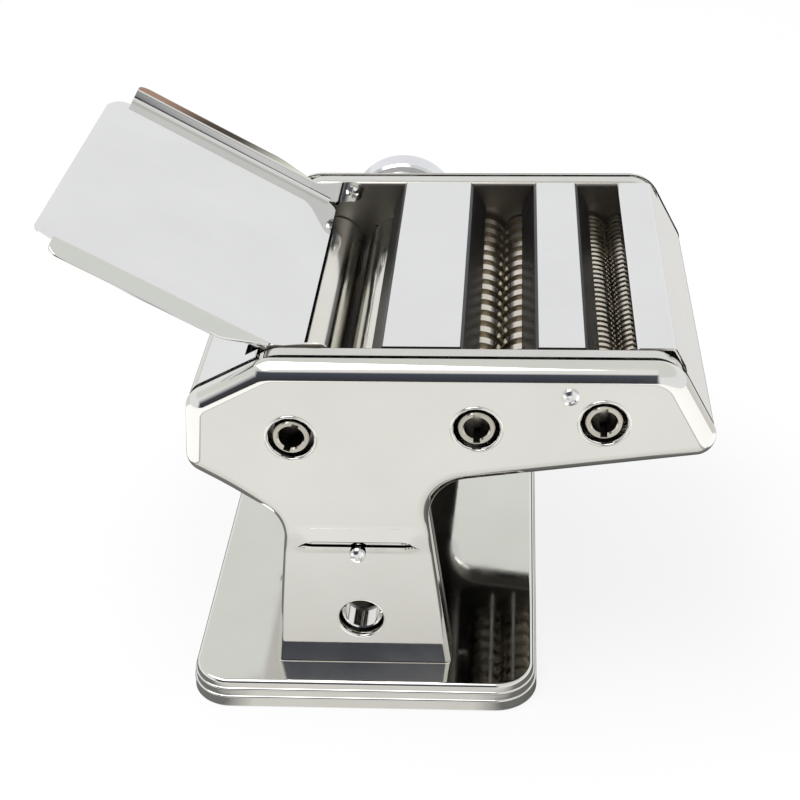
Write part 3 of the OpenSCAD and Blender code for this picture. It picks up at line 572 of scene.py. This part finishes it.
# ---------------------------------------------------------------- feed tray
# hinge point in X and Z, and slope at rest; the other sizes are those of the tray lying flat
TRAY_AT, TRAY_SLOPE = (-13.5, 148.0), math.radians(30.2)
TRAY_HALF, TRAY_SHEET, TRAY_FLOOR, FLOOR_BEND = 72.4, 0.8, -9.8, 2
WALL_TOP, WALL_BEND = -5.2, 0.6
TRAY_LIP, LIP_SLOPE, EDGE_ROLL = 8.5, -9, 0.75
# from the hinge outwards: ends of the apron, the floor and the walls, and where the lip rounds off
APRON_END, FLOOR_START, WALL_START, LIP_ROUND, WALL_END = -3.0, -7, -17.5, -99.4, -104.4
TIP_RADIUS = 14.8
EAR_RADIUS = 4.9


class Plates:
    """Closed pieces of sheet, collected into one mesh; the tray is drawn lying flat."""

    def __init__(self):
        self.verts, self.faces, self.soft = [], [], []

    def vert(self, point):
        """Adds a point of the flat tray, turned to its slope."""
        x, y, z = point
        c, s = math.cos(TRAY_SLOPE), math.sin(TRAY_SLOPE)
        self.verts.append(((TRAY_AT[0] + x * c + z * s) * MM, y * MM,
                           (TRAY_AT[1] - x * s + z * c) * MM))
        return len(self.verts) - 1

    def face(self, corners, soft):
        self.faces.append(corners)
        self.soft.append(soft)

    def sheet(self, rows):
        """Rows of points with upward normals, made into sheet below them."""
        upper = [[self.vert(p) for p, n in row] for row in rows]
        lower = [[self.vert(Vector(p) - Vector(n) * TRAY_SHEET) for p, n in row] for row in rows]
        for grid, turn in ((upper, 1), (lower, -1)):
            for a, b in zip(grid, grid[1:]):
                for i in range(len(a) - 1):
                    self.face((a[i], a[i + 1], b[i + 1], b[i])[::turn], True)
        ring = [(0, i) for i in range(len(rows[0]))]
        ring += [(r, len(rows[0]) - 1) for r in range(1, len(rows))]
        ring += [(len(rows) - 1, i) for i in range(len(rows[0]) - 2, -1, -1)]
        ring += [(r, 0) for r in range(len(rows) - 2, 0, -1)]
        edge = [(upper[r][i], lower[r][i]) for r, i in ring]
        for (a, b), (c, d) in zip(edge, edge[1:] + edge[:1]):
            self.face((a, b, d, c), False)

    def plate(self, outline, y0, y1):
        """A flat plate between two depths, its outline in x and z."""
        ring = [(self.vert((x, y0, z)), self.vert((x, y1, z))) for x, z in outline]
        self.face(tuple(a for a, b in ring), False)
        self.face(tuple(b for a, b in ring)[::-1], False)
        for (a, b), (c, d) in zip(ring, ring[1:] + ring[:1]):
            self.face((a, c, d, b), True)

    def made(self, name, material):
        mesh = bpy.data.meshes.new(name)
        mesh.from_pydata(self.verts, [], self.faces)
        mesh.polygons.foreach_set("use_smooth", self.soft)
        turned_out(mesh, True)
        return placed(name, mesh, material)


def arc(centre, radius, start, end, steps, first=1):
    """Points and outward directions along an arc, angles in degrees, in Y and Z."""
    made = []
    for k in range(first, steps + 1):
        a = math.radians(start + (end - start) * k / steps)
        out = (math.cos(a), math.sin(a))
        made.append(((centre[0] + radius * out[0], centre[1] + radius * out[1]), out))
    return made


def tray_section(lip):
    """Half of the channel from the middle outwards: to the wall's foot, or on over wall and lip."""
    row = [((y, TRAY_FLOOR), (0, 1)) for y in (0, 20, 40, 55, 64, 68, TRAY_HALF - FLOOR_BEND)]
    hollow = arc((TRAY_HALF - FLOOR_BEND, TRAY_FLOOR + FLOOR_BEND), FLOOR_BEND, -90, 0, 6)
    row += [(spot, (-out[0], -out[1])) for spot, out in hollow]
    if lip is None:
        return row
    crest = 90 + LIP_SLOPE
    row += arc((TRAY_HALF + WALL_BEND, WALL_TOP), WALL_BEND, 180, crest, 11, first=0)
    (y, z), _ = row[-1]
    slope = math.radians(LIP_SLOPE)
    along, over = (math.cos(slope), math.sin(slope)), (-math.sin(slope), math.cos(slope))
    for share in (0.12, 0.4, 0.7, 0.9, 1.0):
        row.append(((y + along[0] * lip * share, z + along[1] * lip * share), over))
    y, z = row[-1][0]
    centre = (y - over[0] * EDGE_ROLL, z - over[1] * EDGE_ROLL)
    return row + arc(centre, EDGE_ROLL, crest, crest - 160, 8)


def swept(spots, lip_at):
    """Rows of points across the whole channel, one for each spot along it."""
    rows = []
    for x in spots:
        half = tray_section(lip_at(x) if lip_at else None)
        row = [((x, -y, z), (0, -n[0], n[1])) for (y, z), n in half[:0:-1]]
        row += [((x, y, z), (0, *n)) for (y, z), n in half]
        rows.append(row)
    return rows


def lip_at(x):
    """Width of the lip: rounded off at the far end, and narrowing to nothing at the hinge."""
    wide = TRAY_LIP
    if x < LIP_ROUND:
        wide = 3.5 + 5.0 * math.sqrt(max(0.0, 1 - ((LIP_ROUND - x) / 5.0) ** 2))
    return min(wide, 0.15 + max(0.0, -17.0 - x) * 0.47)


def feed_tray():
    """The feed tray: channel with rolled lips, floor, apron, curved tip and two ears."""
    parts = Plates()
    spots = [WALL_END, -104.3, -104, -103.5, -102.8, -101.8, -100.8, LIP_ROUND]
    spots += [-96 + 4 * k for k in range(16)] + [-33, -30, -27, -24, -21, -19, WALL_START]
    parts.sheet(swept(spots, lip_at))
    parts.sheet(swept([WALL_START, -14, -10.5, FLOOR_START], None))
    apron = ((FLOOR_START, 1.0), (-5.5, 0.985), (-4.0, 0.965), (APRON_END, 0.935))
    parts.sheet([[((x, y * share, TRAY_FLOOR), (0, 0, 1)) for y in (-72, -60, -30, 0, 30, 60, 72)]
                 for x, share in apron])
    across = range(-10, 11)
    tip = [[((WALL_END, y * 6.695, TRAY_FLOOR), (0, 0, 1)) for y in across]]
    for k in range(13):
        a = TRAY_SLOPE * k / 12
        x, z = -105.5 - TIP_RADIUS * math.sin(a), -24.6 + TIP_RADIUS * math.cos(a)
        half = 57 + math.sqrt(max(0.0, 100 - min(x + 103.4, 0.0) ** 2))
        tip.append([((x, y * half / 10, z), (-math.sin(a), 0, math.cos(a))) for y in across])
    parts.sheet(tip)
    ear = [(FLOOR_START, -7.8), (WALL_START, -7.8), (WALL_START, -4.8), (-15.5, -4.4), (-12.5, -3.0),
           (-4.4, 2.9)]
    ear += [(EAR_RADIUS * math.cos(a), EAR_RADIUS * math.sin(a))
            for a in [math.radians(136 - 6 * k) for k in range(36)]]
    ear += [(-1.6, -7.0), (-3.0, -9.6), (FLOOR_START, -9.6)]
    for side in (-1, 1):
        parts.plate(ear, side * TRAY_HALF, side * (TRAY_HALF + TRAY_SHEET))
    piece = parts.made("tray", cover_sheet)
    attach(piece, "tray")
    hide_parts("feed_tray")


feed_tray()


# ---------------------------------------------------------------- spring of the thickness knob
# radius of the wire in metres, and its turns
WIRE, SPRING_TURNS = 0.0005, 6.5


def knob_spring():
    """Wound wire between the knob and the washer."""
    low, high = (Vector(corner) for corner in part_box("knob_spring"))
    middle, reach = (low + high) / 2, (high.x - low.x) / 2
    around, ring = 30, 10
    steps = int(SPRING_TURNS * around)
    verts, faces = [], []
    for k in range(steps + 1):
        a = 2 * math.pi * k / around
        share = smooth(k / steps, 0.06, 0.94)
        along = low.y + WIRE + (high.y - low.y - 2 * WIRE) * (0.35 * share + 0.65 * k / steps)
        out = Vector((math.cos(a), 0, math.sin(a)))
        spot = Vector((middle.x, along, middle.z)) + out * (reach - WIRE)
        for j in range(ring):
            b = 2 * math.pi * j / ring
            verts.append(spot + out * (WIRE * math.cos(b)) + Vector((0, WIRE * math.sin(b), 0)))
    for k in range(steps):
        for j in range(ring):
            i = (j + 1) % ring
            faces.append((k * ring + j, k * ring + i, (k + 1) * ring + i, (k + 1) * ring + j))
    faces += [tuple(range(ring))[::-1], tuple(range(steps * ring, steps * ring + ring))]
    mesh = bpy.data.meshes.new("wound_spring")
    mesh.from_pydata(verts, [], faces)
    mesh.polygons.foreach_set("use_smooth", [len(f) == 4 for f in faces])
    turned_out(mesh, False)
    piece = placed("wound_spring", mesh, screw_steel)
    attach(piece, "regulator")
    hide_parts("knob_spring")
    # the spring's still end lies at Y 0.1122, and the knob is pulled 0.004 along it
    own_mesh(piece)


knob_spring()


# ---------------------------------------------------------------- studio
WHITE = (1.0, 1.0, 1.0)
# painted shade: what the metal sees of the table beside and behind the machine
UNLIT = (0.035, 0.033, 0.03)


def floor():
    """A pale table that keeps the shadow, with a pattern of painted light and painted shade that only metal
    sees.
    """
    mesh = bpy.data.meshes.new("floor")
    half = 6.0
    mesh.from_pydata([(-half, -half, 0), (half, -half, 0), (half, half, 0), (-half, half, 0)], [],
                     [(0, 1, 2, 3)])
    material, tree, shader = node_tree("floor")
    piece = placed("floor", mesh, material)
    piece.location.z = -0.0003
    shader.inputs["Base Color"].default_value = (0.9, 0.9, 0.9, 1)
    shader.inputs["Roughness"].default_value = 0.9
    shader.inputs["Specular IOR Level"].default_value = 0.0
    glow = tree.nodes.new("ShaderNodeEmission")
    glow.inputs["Strength"].default_value = 1.0
    path = tree.nodes.new("ShaderNodeLightPath")

    def along(axis, start, end, mirror=False):
        return where(tree, "Position", axis, start, end, mirror)

    # in the metal, painted light and shade: a white table, greyer near the machine as painted shadow, with
    # painted glow left and right in place of harder light, and painted shade behind the machine
    tone = mixed(tree, along("Y", -0.22, -0.12), (1.0, 0.995, 0.975), (0.80, 0.79, 0.765))
    # painted reflections: grey seams, then strips that glow brighter than white though no lamp is there
    grey, lamp = (0.42, 0.42, 0.42), (1.45, 1.45, 1.45)
    for near, past, colour in ((-0.145, -0.155, grey), (0.185, 0.195, grey),
                               (-0.165, -0.18, lamp), (0.205, 0.22, lamp)):
        strip = times(tree, along("X", near, past), along("Y", 0.13, 0.09))
        tone = mixed(tree, strip, tone, colour)
    # painted shade on the table behind and beside the machine, as the metal sees it
    painted_shade_behind = times(tree, along("Y", -0.105, -0.09), along("X", -0.19, -0.17))
    tone = mixed(tree, times(tree, painted_shade_behind, along("X", 0.24, 0.22)), tone, UNLIT)
    beside = times(tree, along("X", 0.045, 0.058, True), along("Y", -0.125, -0.112))
    tone = mixed(tree, times(tree, beside, along("X", 0.15, 0.13, True)), tone, UNLIT)
    tone = mixed(tree, path.outputs["Is Camera Ray"], tone, WHITE)
    tree.links.new(tone, glow.inputs["Color"])
    seen = tree.nodes.new("ShaderNodeMath")
    seen.operation = "MAXIMUM"
    tree.links.new(path.outputs["Is Camera Ray"], seen.inputs[0])
    tree.links.new(path.outputs["Is Glossy Ray"], seen.inputs[1])
    share = tree.nodes.new("ShaderNodeMath")
    share.operation = "MULTIPLY"
    share.inputs[1].default_value = 0.8
    tree.links.new(seen.outputs[0], share.inputs[0])
    mix = tree.nodes.new("ShaderNodeMixShader")
    tree.links.new(share.outputs[0], mix.inputs["Fac"])
    tree.links.new(shader.outputs[0], mix.inputs[1])
    tree.links.new(glow.outputs[0], mix.inputs[2])
    tree.links.new(mix.outputs[0], tree.nodes["Material Output"].inputs["Surface"])


def ramped(tree, value, stops):
    """Colour along a ramp with these stops, in rising order."""
    node = tree.nodes.new("ShaderNodeValToRGB")
    ramp = node.color_ramp
    for element, (position, colour) in zip(ramp.elements, (stops[0], stops[-1])):
        element.position = position
        element.color = (*colour, 1)
    for position, colour in stops[1:-1]:
        ramp.elements.new(position).color = (*colour, 1)
    tree.links.new(value, node.inputs[0])
    return node.outputs[0]


def world():
    """White to the camera; metal sees a bright studio with a dark part behind the camera."""
    made = bpy.data.worlds.new("studio")
    bpy.context.scene.world = made
    made.use_nodes = True
    tree = made.node_tree
    back = tree.nodes["Background"]
    coord = tree.nodes.new("ShaderNodeTexCoord")
    split = tree.nodes.new("ShaderNodeSeparateXYZ")
    tree.links.new(coord.outputs["Generated"], split.inputs[0])
    x, y, z = (split.outputs[axis] for axis in "XYZ")
    # in front: nearly dark up to a knee, then white overhead
    height = ramped(tree, z, [(0.0, (0.05, 0.05, 0.055)), (0.40, (0.065, 0.072, 0.095)),
                              (0.66, (0.085, 0.095, 0.125)), (0.70, (0.45, 0.45, 0.47)), (0.76, WHITE)])
    front = spread(tree, y, 1, 0, -0.45, -0.05)
    front = times(tree, front, spread(tree, x, 1, 0, 0.10, 0.20))
    front = times(tree, front, spread(tree, x, 0, 1, -0.74, -0.62))
    sky = mixed(tree, spread(tree, z, 0, 1, 0.50, 0.60), (1.0, 1.01, 1.04), (0.84, 0.86, 0.83))
    # low at the back: a strip from brown over dark to pale
    band = ramped(tree, spread(tree, x, 0, 1, 0.0, 0.16),
                  [(0.30, (0.46, 0.31, 0.23)), (0.46, (0.08, 0.07, 0.06)),
                   (0.58, (0.08, 0.07, 0.06)), (0.80, (0.95, 0.94, 0.85))])
    low = times(tree, spread(tree, z, 1, 0, 0.13, 0.17), spread(tree, y, 0, 1, 0.93, 0.97))
    sky = mixed(tree, times(tree, low, spread(tree, x, 0, 1, -0.2, -0.15)), sky, band)
    room = mixed(tree, front, sky, height)
    path = tree.nodes.new("ShaderNodeLightPath")
    shown = mixed(tree, path.outputs["Is Camera Ray"], room, WHITE)
    tree.links.new(shown, back.inputs["Color"])


def softbox(name, place, aim, size, power):
    """A flat lamp at a place, turned to its aim."""
    lamp = bpy.data.lights.new(name, "AREA")
    lamp.shape = "RECTANGLE"
    lamp.size, lamp.size_y = size
    lamp.energy = power
    piece = bpy.data.objects.new(name, lamp)
    piece.location = place
    piece.rotation_mode = "QUATERNION"
    piece.rotation_quaternion = (Vector(aim) - Vector(place)).to_track_quat("-Z", "Y")
    bpy.context.scene.collection.objects.link(piece)


def camera():
    """A long lens held above and in front of the drive side, a little to the right."""
    right = Vector((0.99880, 0.04555, -0.01797))
    up = Vector((-0.00899, 0.53140, 0.84708))
    back = right.cross(up)
    up = back.cross(right)
    data = bpy.data.cameras.new("camera")
    data.sensor_width = 36.0
    data.lens = 70.2
    data.shift_x = -0.05
    piece = bpy.data.objects.new("camera", data)
    pose = Matrix((right, up, back)).transposed().to_4x4()
    pose.translation = Vector((61.14, -574.95, 443.28)) * MM
    piece.matrix_world = pose
    bpy.context.scene.collection.objects.link(piece)
    bpy.context.scene.camera = piece


camera()
floor()
world()
softbox("key", (-0.5, -0.2, 1.6), (0, 0, 0.1), (1.4, 1.0), 14)
bpy.context.scene.view_settings.view_transform = "Standard"
